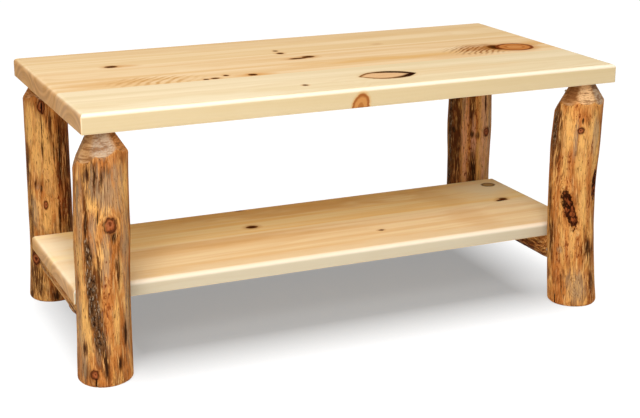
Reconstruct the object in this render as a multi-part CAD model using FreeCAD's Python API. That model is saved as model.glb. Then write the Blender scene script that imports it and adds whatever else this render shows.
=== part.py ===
"""Rustic pine coffee table: a three-board top and a two-board shelf on four peeled log legs.

The origin is on the floor under the middle of the top. X runs along the table, Y from front to rear, Z up.
"""
import FreeCAD, Part
import math
import os
from collections import namedtuple

Vector = FreeCAD.Vector

# Top: boards side by side, rounded over along the upper edges
TABLE_HEIGHT = 520.0
TOP_LENGTH = 1118.0
TOP_BOARD_WIDTH = 187.0
TOP_THICKNESS = 38.0
TOP_BOARD_NAMES = ("front", "middle", "rear")
TOP_EDGE_ROUND = 9.0

# Shelf: boards between the front and rear legs, lying on the rails and running past the leg axes at each end
SHELF_HEIGHT = 161.0
SHELF_THICKNESS = 30.0
SHELF_BOARD_NAMES = ("front", "rear")
SHELF_PAST_LEFT = 53.0
SHELF_PAST_RIGHT = 40.0
SHELF_SIDE_GAP = 7.0
SHELF_EDGE_ROUND = 11.0

# Both panels: eased lower edges and upright corners
LOWER_EASE = 2.5
CORNER_EASE = 3.0

# Legs: peeled logs whose upper ends are hewn down to a smaller end by flats, which wander about even
# spacing by so many degrees, in a cycle that turns by BEVEL_WANDER_TURN from flat to flat
LEG_DIAMETER = 102.0
LEG_INSET_X = 47.0
LEG_INSET_Y = 42.0
LEG_END_DIAMETER = 40.0
LEG_OVAL = 0.9
LEG_LOBE = 0.7
LEG_FLARE_HEIGHT = 190.0
LEG_SWELL_HALF_HEIGHT = 60.0
FOOT_EASE = 8.0
BEVEL_FACETS = 7
BEVEL_WANDER = 7.0
BEVEL_WANDER_TURN = 137.0

# Each log. In millimetres: where its core lies off the leg's axis (X, Y) at the head and at the foot, and
# how far it bows between them; how much its radius differs all along, grows at the foot, and grows at a
# swelling; the height of that swelling; how far down the bevel reaches on average, and how much more on its
# deepest side. In degrees: the turn of its section, and the direction of that side.
Log = namedtuple("Log", "head foot bow girth flare swell swell_height bevel bevel_skew turn bevel_side")
LOGS = {
    ("front", "left"): Log(
        head=(-3.0, 0.0), foot=(-14.0, 0.0), bow=(-1.0, 0.0), girth=0.0, flare=2.5,
        swell=2.0, swell_height=290.0, bevel=59.0, bevel_skew=15.0, turn=8.0, bevel_side=113.0),
    ("front", "right"): Log(
        head=(-5.5, 0.0), foot=(-2.0, 0.0), bow=(-11.5, 2.0), girth=0.3, flare=3.0,
        swell=2.0, swell_height=355.0, bevel=58.5, bevel_skew=16.5, turn=47.0, bevel_side=56.0),
    ("rear", "left"): Log(
        head=(5.0, 0.0), foot=(0.0, 1.0), bow=(0.0, -2.0), girth=-3.2, flare=6.5,
        swell=0.8, swell_height=200.0, bevel=50.0, bevel_skew=10.0, turn=101.0, bevel_side=45.0),
    ("rear", "right"): Log(
        head=(6.0, 0.0), foot=(7.0, 1.0), bow=(-1.0, 0.0), girth=0.0, flare=2.5,
        swell=2.5, swell_height=280.0, bevel=54.0, bevel_skew=7.0, turn=150.0, bevel_side=60.0),
}

# Rails: logs with a flat for the shelf, rounded down at both ends to a round tenon
RAIL_DIAMETER = 88.0
RAIL_SEAT = 20.0
RAIL_SHOULDER = 38.0
SHOULDER_GAP = 1.0
TENON_DIAMETER = 38.0
TENON_LENGTH = 50.0

# Dowels
LEG_DOWEL_DIAMETER = 20.0
LEG_DOWEL_IN_LEG = 45.0
LEG_DOWEL_COVER = 14.0
SEAM_DOWEL_DIAMETER = 10.0
SEAM_DOWEL_LENGTH = 60.0
SEAM_DOWEL_PITCH = 240.0
SEAM_DOWEL_END = 60.0

# Screws and nails: their lengths follow from where the head sits and how much wood covers the tip
Fastener = namedtuple("Fastener", "shank head head_height")
TOE_SCREW = Fastener(shank=4.5, head=9.0, head_height=3.0)
TOE_SCREW_DROP = 22.0
TOE_SCREW_RECESS = 4.0
TOE_SCREW_COVER = 16.0
TOE_SCREW_TILT = 50.0
TOE_SCREW_BESIDE_DOWEL = 1.5
SHELF_SCREW = Fastener(shank=5.0, head=10.0, head_height=3.5)
SHELF_SCREW_POCKET = 20.0
SHELF_SCREW_COVER = 10.0
SHELF_SCREW_SPREAD = 80.0
TENON_NAIL = Fastener(shank=3.0, head=6.0, head_height=1.5)
TENON_NAIL_RECESS = 2.0
TENON_NAIL_PAST = 4.0

# Clearances
DOWEL_CLEARANCE = 0.1
TENON_CLEARANCE = 0.15
FASTENER_CLEARANCE = 0.1
HOLE_END_GAP = 0.4

# Sizes that follow
TOP_WIDTH = TOP_BOARD_WIDTH * len(TOP_BOARD_NAMES)
LEG_LENGTH = TABLE_HEIGHT - TOP_THICKNESS
LEG_X = TOP_LENGTH / 2 - LEG_INSET_X
LEG_Y = TOP_WIDTH / 2 - LEG_INSET_Y
SHELF_LENGTH = 2 * LEG_X + SHELF_PAST_LEFT + SHELF_PAST_RIGHT
SHELF_MIDDLE_X = (SHELF_PAST_RIGHT - SHELF_PAST_LEFT) / 2
SHELF_BOTTOM = SHELF_HEIGHT - SHELF_THICKNESS
RAIL_Z = SHELF_BOTTOM - RAIL_SEAT
SIGN = {"left": -1, "right": 1, "front": -1, "rear": 1}
UP = Vector(0, 0, 1)
RINGS = 9
RING_POINTS = 16


def log_core(log, height):
    """Where the log's core lies from the leg's axis at a height."""
    share = height / LEG_LENGTH
    sway = math.sin(math.pi * share)
    spots = [foot * (1 - share) + head * share + bow * sway
             for foot, head, bow in zip(log.foot, log.head, log.bow)]
    return Vector(*spots, 0)


def log_radius(log, height, angle):
    """The peeled log's radius, from its core, at a height and an angle."""
    flare = log.flare * max(0.0, 1 - height / LEG_FLARE_HEIGHT) ** 2
    from_swelling = (height - log.swell_height) / LEG_SWELL_HALF_HEIGHT
    swell = log.swell * math.exp(-from_swelling ** 2)
    turned = angle - math.radians(log.turn)
    section = LEG_OVAL * math.cos(2 * turned) + LEG_LOBE * math.cos(3 * turned)
    return LEG_DIAMETER / 2 + log.girth + flare + swell + section


def outward(angle):
    return Vector(math.cos(angle), math.sin(angle), 0)


def log_side(log, height, angle):
    """How far the log's skin stands from the leg's axis, at a height and towards an angle."""
    return log_core(log, height).dot(outward(angle)) + log_radius(log, height, angle)


def leg_axis(row, side):
    return Vector(SIGN[side] * LEG_X, SIGN[row] * LEG_Y, 0)


def leg_head(row, side):
    """The middle of a leg's upper end, where it meets the top."""
    return leg_axis(row, side) + log_core(LOGS[row, side], LEG_LENGTH) + UP * LEG_LENGTH


def towards_other_row(row):
    """The angle that looks from a leg to the other leg of its end frame."""
    return -SIGN[row] * math.pi / 2


def bevel_inset(log):
    """How far the hewing takes a leg's upper end in from the log's skin."""
    return (LEG_DIAMETER - LEG_END_DIAMETER) / 2 + log.girth


def bevel_fall(log, angle):
    """How far down the hewing reaches on the side towards an angle."""
    return log.bevel + log.bevel_skew * math.cos(angle - math.radians(log.bevel_side))


def leg_blank(row, side):
    """A crooked log with an eased foot, its upper end hewn to flats round a small end."""
    log = LOGS[row, side]
    rings = []
    for ring in range(RINGS):
        height = LEG_LENGTH * ring / (RINGS - 1)
        core = leg_axis(row, side) + log_core(log, height) + UP * height
        angles = [math.radians(log.turn + 360 * step / RING_POINTS) for step in range(RING_POINTS)]
        curve = Part.BSplineCurve()
        curve.interpolate([core + outward(angle) * log_radius(log, height, angle) for angle in angles],
                          PeriodicFlag=True)
        rings.append(Part.Wire(curve.toShape()))
    solid = Part.makeLoft(rings, True)
    foot_edges = [edge for edge in solid.Edges if edge.BoundBox.ZMax < FOOT_EASE / 2]
    solid = solid.makeFillet(FOOT_EASE, foot_edges)
    for facet in range(BEVEL_FACETS):
        wander = BEVEL_WANDER * math.sin(math.radians(BEVEL_WANDER_TURN * facet))
        angle = math.radians(log.turn + 360 * facet / BEVEL_FACETS + wander)
        on_facet = leg_head(row, side) + outward(angle) * LEG_END_DIAMETER / 2
        normal = outward(angle) * bevel_fall(log, angle) + UP * bevel_inset(log)
        solid = solid.cut(Part.makeCylinder(2 * LEG_DIAMETER, LEG_DIAMETER, on_facet, normal))
    return solid


def rod(diameter, start, end):
    """A plain cylinder between two points."""
    run = end - start
    return Part.makeCylinder(diameter / 2, run.Length, start, run)


def hole_for(diameter, start, end, clearance, end_gaps=(HOLE_END_GAP, HOLE_END_GAP)):
    """The bore round a rod, wider by a clearance and a little longer at each end."""
    along = (end - start).normalize()
    return rod(diameter + 2 * clearance, start - along * end_gaps[0], end + along * end_gaps[1])


def fastener_and_hole(size, seat, tip, pocket):
    """A headed fastener whose head bears on a seat, and its stepped hole with a pocket behind the head."""
    along = (tip - seat).normalize()
    head = rod(size.head, seat - along * size.head_height, seat)
    solid = rod(size.shank, seat, tip).fuse(head).removeSplitter()
    bore = hole_for(size.shank, seat, tip, FASTENER_CLEARANCE)
    head_bore = rod(size.head + 2 * FASTENER_CLEARANCE, seat - along * pocket, seat)
    return solid, bore.fuse(head_bore)


def panel(middle_x, length, width, thickness, top_z, edge_round):
    """A whole glued-up panel, rounded over above, eased below and at its upright corners."""
    corner = Vector(middle_x - length / 2, -width / 2, top_z - thickness)
    block = Part.makeBox(length, width, thickness, corner)
    upper = [edge for edge in block.Edges if edge.BoundBox.ZMin > top_z - LOWER_EASE]
    rounded = block.makeFillet(edge_round, upper)
    lower = [edge for edge in rounded.Edges if edge.BoundBox.ZMax < top_z - thickness + LOWER_EASE]
    rounded = rounded.makeFillet(LOWER_EASE, lower)
    upright = [edge for edge in block.Edges if edge.BoundBox.ZLength > thickness / 2]
    return rounded.common(block.makeFillet(CORNER_EASE, upright))


def rip_into_boards(solid, width, count):
    """The panel's boards, from front to rear, as equal strips that meet face to face."""
    box = solid.BoundBox
    board_width = width / count
    strips = []
    for index in range(count):
        corner = Vector(box.XMin, index * board_width - width / 2, box.ZMin)
        strips.append(solid.common(Part.makeBox(box.XLength, board_width, box.ZLength, corner)))
    return strips


def seam_dowel_ends(middle, length):
    """The two end points of each dowel across one seam, in a row about the seam's middle."""
    count = int((length - 2 * SEAM_DOWEL_END) / SEAM_DOWEL_PITCH) + 1
    half = Vector(0, SEAM_DOWEL_LENGTH / 2, 0)
    for index in range(count):
        spot = middle + Vector((index - (count - 1) / 2) * SEAM_DOWEL_PITCH, 0, 0)
        yield spot - half, spot + half


def rail_shoulder(row, side):
    """Where along Y a rail's shoulder stops short of a leg."""
    skin = log_side(LOGS[row, side], RAIL_Z, towards_other_row(row))
    return SIGN[row] * (LEG_Y - skin - SHOULDER_GAP)


def tenon_ends(row, side):
    """The root and the tip of a rail's tenon."""
    root = Vector(SIGN[side] * LEG_X, rail_shoulder(row, side), RAIL_Z)
    return root, root + Vector(0, SIGN[row] * TENON_LENGTH, 0)


def rail(side):
    """A round log turned down to a tenon at each end, with the flat that the shelf lies on."""
    tenon = TENON_DIAMETER / 2
    body = RAIL_DIAMETER / 2
    x = SIGN[side] * LEG_X

    def at(radius, y):
        return Vector(x, y, RAIL_Z + radius)

    def shoulder(y, inward):
        share = math.sqrt(0.5)
        bulge = at(tenon + (body - tenon) * share, y + inward * RAIL_SHOULDER * (1 - share))
        return Part.Arc(at(tenon, y), bulge, at(body, y + inward * RAIL_SHOULDER)).toShape()

    front = rail_shoulder("front", side)
    rear = rail_shoulder("rear", side)
    front_end = front - TENON_LENGTH
    rear_end = rear + TENON_LENGTH
    edges = [Part.makeLine(at(0, front_end), at(tenon, front_end)),
             Part.makeLine(at(tenon, front_end), at(tenon, front)),
             shoulder(front, 1),
             Part.makeLine(at(body, front + RAIL_SHOULDER), at(body, rear - RAIL_SHOULDER)),
             shoulder(rear, -1),
             Part.makeLine(at(tenon, rear), at(tenon, rear_end)),
             Part.makeLine(at(tenon, rear_end), at(0, rear_end)),
             Part.makeLine(at(0, rear_end), at(0, front_end))]
    solid = Part.Face(Part.Wire(edges)).revolve(at(0, 0), Vector(0, 1, 0), 360)
    above = Part.makeBox(RAIL_DIAMETER, rear - front, RAIL_DIAMETER, Vector(x - body, front, SHELF_BOTTOM))
    return solid.cut(above)


def leg_dowel_ends(row, side):
    joint = leg_head(row, side)
    return joint - UP * LEG_DOWEL_IN_LEG, joint + UP * (TOP_THICKNESS - LEG_DOWEL_COVER)


def toe_screw_ends(row, side):
    """Seat and tip of a leg's two slanting screws, one from each inner side, passing beside the dowel."""
    log = LOGS[row, side]
    beside = (LEG_DOWEL_DIAMETER + TOE_SCREW.shank) / 2 + TOE_SCREW_BESIDE_DOWEL
    climb = TOE_SCREW_DROP + TOP_THICKNESS - TOE_SCREW_COVER
    lean = climb * math.tan(math.radians(TOE_SCREW_TILT))
    across = Vector(-SIGN[side], 0, 0)
    along = Vector(0, -SIGN[row], 0)
    for inward, sideways in ((across, along), (along, across * -1)):
        slope = bevel_inset(log) / bevel_fall(log, math.atan2(inward.y, inward.x))
        on_bevel = LEG_END_DIAMETER / 2 + slope * TOE_SCREW_DROP
        reach = math.sqrt(on_bevel ** 2 - beside ** 2) - TOE_SCREW_RECESS
        seat = leg_head(row, side) + inward * reach + sideways * beside - UP * TOE_SCREW_DROP
        yield seat, seat + UP * climb - inward * lean


def tenon_nail_ends(row, side):
    """Seat and tip of the nail from a leg's inner side across the middle of the tenon."""
    root, tip = tenon_ends(row, side)
    middle = (root + tip) * 0.5
    inward = Vector(-SIGN[side], 0, 0)
    log = LOGS[row, side]
    core = leg_axis(row, side) + log_core(log, RAIL_Z)
    radius = LEG_DIAMETER / 2 + log.girth
    skin = math.sqrt(radius ** 2 - (middle.y - core.y) ** 2) + (core - middle).dot(inward)
    seat = middle + inward * (skin - TENON_NAIL_RECESS - TENON_NAIL.head_height)
    return seat, middle - inward * (TENON_DIAMETER / 2 + TENON_NAIL_PAST)


def shelf_screw_ends(side, board_width, board_count):
    """Seat and tip of the screws up through a rail, two to a board."""
    seat_z = RAIL_Z - RAIL_DIAMETER / 2 + SHELF_SCREW_POCKET
    for index in range(board_count):
        board_y = (index - (board_count - 1) / 2) * board_width
        for half in (-0.5, 0.5):
            seat = Vector(SIGN[side] * LEG_X, board_y + half * SHELF_SCREW_SPREAD, seat_z)
            yield seat, seat + UP * (SHELF_HEIGHT - SHELF_SCREW_COVER - seat_z)


def shelf_width():
    """The room between the front and rear legs at the shelf, less a gap on each side."""
    rooms = []
    for row, side in LOGS:
        for height in (SHELF_BOTTOM, SHELF_HEIGHT):
            rooms.append(LEG_Y - log_side(LOGS[row, side], height, towards_other_row(row)))
    return 2 * (min(rooms) - SHELF_SIDE_GAP)


def drilled(solid, bores):
    """The solid less those bores that reach it."""
    for bore in bores:
        if solid.BoundBox.intersect(bore.BoundBox):
            solid = solid.cut(bore)
    return solid


def build():
    """Every node of the table by name."""
    width = shelf_width()
    shelf_count = len(SHELF_BOARD_NAMES)
    groups = {name: [] for name in ("leg_dowels", "toe_screws", "top_dowels", "shelf_dowels", "tenon_nails",
                                    "shelf_screws")}
    bores = []

    def add_dowel(group, diameter, start, end):
        groups[group].append(rod(diameter, start, end))
        bores.append(hole_for(diameter, start, end, DOWEL_CLEARANCE))

    def add_fastener(group, size, seat, tip, pocket):
        solid, bore = fastener_and_hole(size, seat, tip, pocket)
        groups[group].append(solid)
        bores.append(bore)

    for index in range(1, len(TOP_BOARD_NAMES)):
        seam = index * TOP_BOARD_WIDTH - TOP_WIDTH / 2
        for start, end in seam_dowel_ends(Vector(0, seam, TABLE_HEIGHT - TOP_THICKNESS / 2), TOP_LENGTH):
            add_dowel("top_dowels", SEAM_DOWEL_DIAMETER, start, end)
    for index in range(1, shelf_count):
        seam = index * width / shelf_count - width / 2
        middle = Vector(SHELF_MIDDLE_X, seam, SHELF_HEIGHT - SHELF_THICKNESS / 2)
        for start, end in seam_dowel_ends(middle, SHELF_LENGTH):
            add_dowel("shelf_dowels", SEAM_DOWEL_DIAMETER, start, end)
    tenon_bores = []
    for row, side in LOGS:
        add_dowel("leg_dowels", LEG_DOWEL_DIAMETER, *leg_dowel_ends(row, side))
        for seat, tip in toe_screw_ends(row, side):
            add_fastener("toe_screws", TOE_SCREW, seat, tip, LEG_DIAMETER / 2)
        add_fastener("tenon_nails", TENON_NAIL, *tenon_nail_ends(row, side), LEG_DIAMETER / 2)
        end_gaps = (LEG_DIAMETER / 2, HOLE_END_GAP)
        tenon_bores.append(hole_for(TENON_DIAMETER, *tenon_ends(row, side), TENON_CLEARANCE, end_gaps))
    for side in ("left", "right"):
        for seat, tip in shelf_screw_ends(side, width / shelf_count, shelf_count):
            add_fastener("shelf_screws", SHELF_SCREW, seat, tip, RAIL_DIAMETER)

    nodes = {}
    top = panel(0, TOP_LENGTH, TOP_WIDTH, TOP_THICKNESS, TABLE_HEIGHT, TOP_EDGE_ROUND)
    for name, board in zip(TOP_BOARD_NAMES, rip_into_boards(top, TOP_WIDTH, len(TOP_BOARD_NAMES))):
        nodes["top_board_" + name] = drilled(board, bores)
    shelf = panel(SHELF_MIDDLE_X, SHELF_LENGTH, width, SHELF_THICKNESS, SHELF_HEIGHT, SHELF_EDGE_ROUND)
    for name, board in zip(SHELF_BOARD_NAMES, rip_into_boards(shelf, width, shelf_count)):
        nodes["shelf_board_" + name] = drilled(board, bores)
    for row, side in LOGS:
        nodes[f"leg_{row}_{side}"] = drilled(leg_blank(row, side), bores + tenon_bores)
    for side in ("left", "right"):
        nodes["shelf_rail_" + side] = drilled(rail(side), bores)
    for name, solids in groups.items():
        nodes[name] = Part.makeCompound(solids)
    return nodes


os.makedirs("parts", exist_ok=True)
for name, shape in build().items():
    if not shape.isValid():
        raise ValueError(name + " is not a sound shape")
    shape.exportStep("parts/" + name + ".step")
    print(name, len(shape.Solids), round(shape.Volume))
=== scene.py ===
"""Looks of the rustic pine coffee table: planed knotty boards on peeled log legs, in plain studio light."""
import math
from collections import namedtuple
from functools import partial
import bmesh
import bpy
import numpy as np
from mathutils import Matrix, Vector


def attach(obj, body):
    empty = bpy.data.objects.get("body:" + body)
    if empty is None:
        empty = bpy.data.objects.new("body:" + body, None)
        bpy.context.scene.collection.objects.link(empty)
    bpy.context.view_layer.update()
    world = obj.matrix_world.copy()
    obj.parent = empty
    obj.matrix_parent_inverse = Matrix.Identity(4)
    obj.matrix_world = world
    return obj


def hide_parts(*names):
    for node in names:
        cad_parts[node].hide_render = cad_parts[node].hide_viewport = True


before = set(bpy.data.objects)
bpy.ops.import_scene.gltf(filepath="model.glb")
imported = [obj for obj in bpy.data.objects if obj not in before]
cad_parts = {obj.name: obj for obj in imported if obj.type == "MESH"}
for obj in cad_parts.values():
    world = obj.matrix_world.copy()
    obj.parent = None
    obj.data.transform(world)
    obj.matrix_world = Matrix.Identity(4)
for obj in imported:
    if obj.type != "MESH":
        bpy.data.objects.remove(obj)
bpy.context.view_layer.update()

NOISE = "ShaderNodeTexNoise"
RANGE = "ShaderNodeMapRange"
MIX = "ShaderNodeMix"
SPLIT = "ShaderNodeSeparateXYZ"
JOIN = "ShaderNodeCombineXYZ"
COLOUR = {"data_type": "RGBA"}
SOFT = {"interpolation_type": "SMOOTHSTEP"}
TIMES = "MULTIPLY"
TIMES_PLUS = "MULTIPLY_ADD"
PLUS = "ADD"
MINUS = "SUBTRACT"
VECTOR = "VECTOR_"
MM = 0.001

# Sizes of the solids, in millimetres
LEG_LENGTH = 482.0
LEG_RADIUS = 51.0
LEG_X = 512.0
LEG_Y = 238.5
LEG_END_RADIUS = 20.0
LEG_OVAL = 0.9
LEG_LOBE = 0.7
FLARE_HEIGHT = 190.0
SWELL_REACH = 60.0
BEVEL_FACETS = 7
BEVEL_WANDER = 7.0
BEVEL_WANDER_TURN = 137.0
RAIL_Z = 111.0
RAIL_RADIUS = 44.0
RAIL_SEAT = 20.0
RAIL_SHOULDER = 38.0
SHOULDER_GAP = 1.0
TENON_RADIUS = 19.0
TENON_LENGTH = 50.0
LEG_INPUTS = {"Length": LEG_LENGTH, "Oval": LEG_OVAL, "Lobe": LEG_LOBE, "Flare Height": FLARE_HEIGHT,
              "Swell Reach": SWELL_REACH, "Foot Ease": 8.0, "End Radius": LEG_END_RADIUS, "Ridges": 0.9,
              "Dents": 2.4}
LEG_ROWS = 344
LEG_COLUMNS = 224
LEG_SEED_STEP = 0.01
RAIL_INPUTS = {"Radius": RAIL_RADIUS, "Tenon Radius": TENON_RADIUS, "Tenon Length": TENON_LENGTH,
               "Shoulder": RAIL_SHOULDER, "Seat": RAIL_SEAT, "Ridges": 0.9, "Dents": 1.0}
RAIL_ROWS = 360
RAIL_COLUMNS = 160
RAIL_SEED = 0.4
RAIL_SEED_STEP = 0.2

# Each log: the sizes of its solid, then its marks. A mark has its place (degrees round the log, millimetres
# up it), its half width and half height, and how far it leans round the log for each millimetre up. Knots,
# cracks, scraps of bark and scars are real relief. The others are colour: a stain is nearly black, gold,
# rust, rosy and grey are as they say, an arch is arched grain, and umber is dark brown, which is partly the
# wood's own colour and partly painted shade where it lies on the sides that face in under the table.
Mark = namedtuple("Mark", "angle height wide tall lean", defaults=(0.0,))
Log = namedtuple("Log", "side row head foot bow girth flare swell swell_height bevel bevel_skew turn "
                        "bevel_side marks")
LOGS = {
    "leg_front_left": Log(-1, -1, (-3, 0), (-14, 0), (-1, 0), 0.0, 2.5, 2.0, 290, 59, 15, 8, 113, {
        "knot": [(273, 315, 11.5, 11.5), (234, 28, 7, 8), (95, 250, 9, 10), (20, 372, 6, 6)],
        "crack": [(236, 10, 1.5, 13), (247, 330, 0.8, 20)],
        "bark": [(226, 262, 7, 28, -0.1), (230, 200, 10, 40, -0.1), (238, 145, 12, 38, -0.12),
                 (246, 97, 10, 30, -0.1), (60, 300, 7, 60), (128, 150, 8, 60)],
        "stain": [(221, 320, 3.2, 34), (228, 412, 3.5, 18), (243, 405, 3, 24), (256, 398, 3, 20),
                  (281, 292, 5, 13), (287, 237, 3.2, 13), (290, 215, 3.5, 9), (192, 201, 4, 14),
                  (210, 76, 5, 13), (308, 100, 4, 22), (287, 44, 5, 14), (256, 50, 6, 34, -0.1),
                  (236, 170, 4, 60, -0.1), (246, 120, 4, 40, -0.1), (130, 320, 8, 60), (20, 250, 7, 50)],
        "umber_and_shade": [(200, 365, 6, 50), (90, 120, 20, 90), (236, 395, 22, 36), (266, 412, 10, 12),
                  (326, 150, 8, 70), (234, 190, 15, 80, -0.1), (250, 85, 11, 40, -0.1), (222, 330, 7, 50),
                  (210, 34, 8, 20), (292, 230, 4, 40), (250, 225, 6, 50)],
        "gold": [(206, 150, 11, 70), (218, 110, 10, 60), (200, 245, 10, 48), (321, 378, 9, 48),
                 (235, 355, 9, 16), (284, 130, 7, 50), (296, 215, 8, 40), (40, 120, 14, 80),
                 (145, 330, 14, 80)],
        "rust": [(262, 175, 12, 90), (10, 300, 16, 70), (323, 462, 22, 24)],
        "grey": [(290, 383, 18, 50), (270, 375, 20, 44), (246, 392, 22, 34), (250, 85, 14, 34),
                 (314, 270, 13, 90), (204, 335, 10, 80), (237, 300, 7, 46), (205, 60, 10, 50),
                 (262, 255, 9, 60), (318, 150, 12, 100), (190, 140, 12, 110), (20, 180, 14, 70),
                 (261, 460, 24, 24)],
    }),
    "leg_front_right": Log(1, -1, (-5.5, 0), (-2, 0), (-11.5, 2), 0.3, 3.0, 2.0, 355, 58.5, 16.5, 47, 56, {
        "knot": [(245, 389, 5.5, 6.5), (60, 210, 9, 11), (120, 90, 7, 7)],
        "crack": [(247.5, 409, 1.8, 7), (193.5, 14, 1.8, 13), (212, 50, 0.8, 30)],
        "bark": [(176, 385, 9, 46), (95, 330, 8, 60)],
        "stain": [(282, 125, 14, 24), (20, 130, 9, 70)],
        "umber_and_shade": [(182, 365, 20, 70), (190, 400, 12, 36), (172, 232, 9, 50), (182, 150, 11, 50),
                  (130, 300, 20, 90), (290, 55, 9, 34), (205, 465, 16, 25)],
        "gold": [(214, 378, 13, 50), (256, 310, 15, 38), (290, 340, 12, 50), (239, 150, 9, 36),
                 (30, 330, 14, 70), (254, 462, 20, 25), (214, 300, 10, 44), (252, 360, 9, 40),
                 (276, 380, 11, 44), (264, 222, 12, 44), (215, 135, 7, 40)],
        "rust": [(192, 237, 9, 13), (261, 417, 6, 9), (281, 225, 9, 44), (228, 278, 13, 18),
                 (90, 150, 18, 80), (202, 290, 8, 80), (254, 150, 11, 80), (240, 425, 20, 26),
                 (276, 330, 10, 50), (205, 110, 9, 60), (284, 58, 14, 36), (229, 145, 9, 50),
                 (228, 320, 8, 40)],
        "grey": [(235, 371, 4.5, 42), (210, 127, 7, 8), (285, 375, 10, 40), (250, 50, 22, 40),
                 (302, 462, 16, 25)],
        "scar": [(231.5, 220, 12.5, 42, -0.28), (302, 268, 12, 32)],
        "arch": [(243, 50, 17, 34)],
    }),
    "leg_rear_left": Log(-1, 1, (5, 0), (0, 1), (0, -2), -3.2, 6.5, 0.8, 200, 50, 10, 101, 45, {
        "knot": [(248, 431, 7, 13), (249, 219, 4.5, 8), (213, 98, 11, 12), (60, 300, 8, 9)],
        "crack": [(249, 430, 1.8, 14), (246, 390, 0.9, 28), (291, 335, 1.7, 75)],
        "bark": [(100, 180, 8, 90)],
        "stain": [(201, 320, 5, 12), (222, 267, 5, 10), (245, 340, 2, 24), (275, 330, 2.2, 24),
                  (238, 255, 3, 7), (283, 190, 3, 35), (193, 15, 8, 14), (264, 17, 8, 12)],
        "umber_and_shade": [(305, 322, 22, 110), (318, 260, 18, 160), (302, 215, 10, 60), (268, 395, 4, 34),
                  (204, 60, 14, 50), (222, 45, 12, 34), (190, 300, 8, 50), (202, 205, 10, 56),
                  (202, 120, 9, 50), (290, 295, 8, 44)],
        "gold": [(212, 395, 18, 46), (229, 315, 13, 42), (250, 190, 10, 40), (277, 225, 6, 66),
                 (258, 300, 11, 60), (240, 372, 14, 42), (253, 350, 9, 40)],
        "rust": [(300, 205, 10, 45), (284, 240, 8, 90), (200, 460, 22, 22), (120, 300, 16, 80)],
        "grey": [(216, 205, 13, 36), (226, 258, 6, 9), (262, 460, 20, 22), (140, 330, 14, 70)],
    }),
    "leg_rear_right": Log(1, 1, (6, 0), (7, 1), (-1, 0), 0.0, 2.5, 2.5, 280, 54, 7, 150, 60, {
        "knot": [(289, 274, 8, 9), (80, 180, 8, 9)],
        "bark": [(178, 300, 8, 120), (174, 120, 10, 90), (40, 330, 8, 80)],
        "stain": [(262, 267, 5, 8), (247, 270, 4, 8), (250, 195, 6, 30), (243, 350, 3, 60),
                  (286, 345, 2.5, 26), (194, 277, 7, 9), (257, 175, 4, 36)],
        "umber_and_shade": [(186, 260, 24, 190), (205, 260, 12, 190), (247, 350, 7, 80), (245, 170, 7, 40)],
        "gold": [(272, 245, 10, 190), (225, 280, 8, 120), (297, 240, 13, 150)],
        "rosy": [(228, 270, 8, 130), (252, 250, 6, 60), (284, 260, 12, 150), (303, 250, 9, 120)],
        "rust": [(259, 330, 6, 90), (237, 230, 9, 110), (230, 400, 14, 50)],
        "grey": [(304, 300, 6, 90), (222, 350, 6, 50), (100, 330, 16, 70)],
    }),
}
# The two rails: marks as on the legs, with degrees round the rail from the right hand side upwards, and
# millimetres along it from its front end
RAILS = {
    "shelf_rail_left": (-1, {
        "gold": [(205, 240, 10, 150), (330, 150, 12, 70)],
        "umber_and_shade": [(235, 190, 16, 110), (300, 300, 16, 80), (200, 90, 14, 60), (200, 380, 14, 60)],
        "knot": [(214, 150, 8, 8), (320, 290, 7, 8)], "stain": [(250, 330, 8, 30), (215, 300, 5, 22)],
        "grey": [(265, 250, 14, 60), (345, 330, 10, 40)], "crack": [(225, 250, 1.0, 50)]}),
    "shelf_rail_right": (1, {
        "umber_and_shade": [(195, 240, 22, 200), (225, 200, 20, 160), (310, 330, 14, 70)],
        "rust": [(210, 180, 20, 150)],
        "gold": [(335, 200, 12, 90), (290, 150, 10, 60)],
        "knot": [(332, 310, 8, 9), (222, 300, 7, 7)], "stain": [(190, 200, 6, 60), (340, 130, 7, 24)],
        "grey": [(265, 280, 14, 60)], "crack": [(205, 330, 1.0, 40)]}),
}
MARK_KINDS = ("knot", "crack", "bark", "stain", "umber_and_shade", "gold", "rust", "rosy", "grey", "scar", "arch")


def linear(code):
    """An sRGB hex colour as linear light."""
    parts = [int(code[i:i + 2], 16) / 255 for i in (1, 3, 5)]
    return tuple(p / 12.92 if p <= 0.04045 else ((p + 0.055) / 1.055) ** 2.4 for p in parts) + (1.0,)


def add(tree, kind, *feeds, inputs=None, stops=(), **settings):
    """Adds a node, sets it, feeds its inputs in order or by name, and gives back its first output. A kind in
    capitals is a sum, of numbers or of vectors, and a feed that starts with # is a colour."""
    if kind.isupper():
        settings["operation"] = kind.removeprefix(VECTOR)
        kind = "ShaderNodeVectorMath" if kind.startswith(VECTOR) else "ShaderNodeMath"
    node = tree.nodes.new(kind)
    for name, value in settings.items():
        setattr(node, name, value)
    pairs = list(zip([socket for socket in node.inputs if socket.enabled], feeds))
    pairs += [(node.inputs[name], feed) for name, feed in (inputs or {}).items()]
    for socket, feed in pairs:
        if isinstance(feed, bpy.types.NodeSocket):
            tree.links.new(feed, socket)
        elif isinstance(feed, str) and feed.startswith("#"):
            socket.default_value = linear(feed)
        else:
            socket.default_value = feed
    for index, (place, code) in enumerate(stops):
        ramp = node.color_ramp.elements
        stop = ramp[index] if index < 2 else ramp.new(place)
        stop.position = place
        stop.color = linear(code)
    shown = [socket for socket in node.outputs if socket.enabled]
    return shown[0] if shown else node


def new_material(name):
    """An empty material and its node maker."""
    material = bpy.data.materials.new(name)
    material.use_nodes = True
    material.node_tree.nodes.clear()
    return material, partial(add, material.node_tree)


def placed(name, data):
    """A new object in the scene."""
    thing = bpy.data.objects.new(name, data)
    bpy.context.scene.collection.objects.link(thing)
    return thing


def in_millimetres(node, point):
    return node(VECTOR + TIMES, point, (1 / MM, 1 / MM, 1 / MM))


def own_place(node):
    """The place on the piece itself, in millimetres."""
    return in_millimetres(node, node("ShaderNodeTexCoord").node.outputs["Object"])


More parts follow.
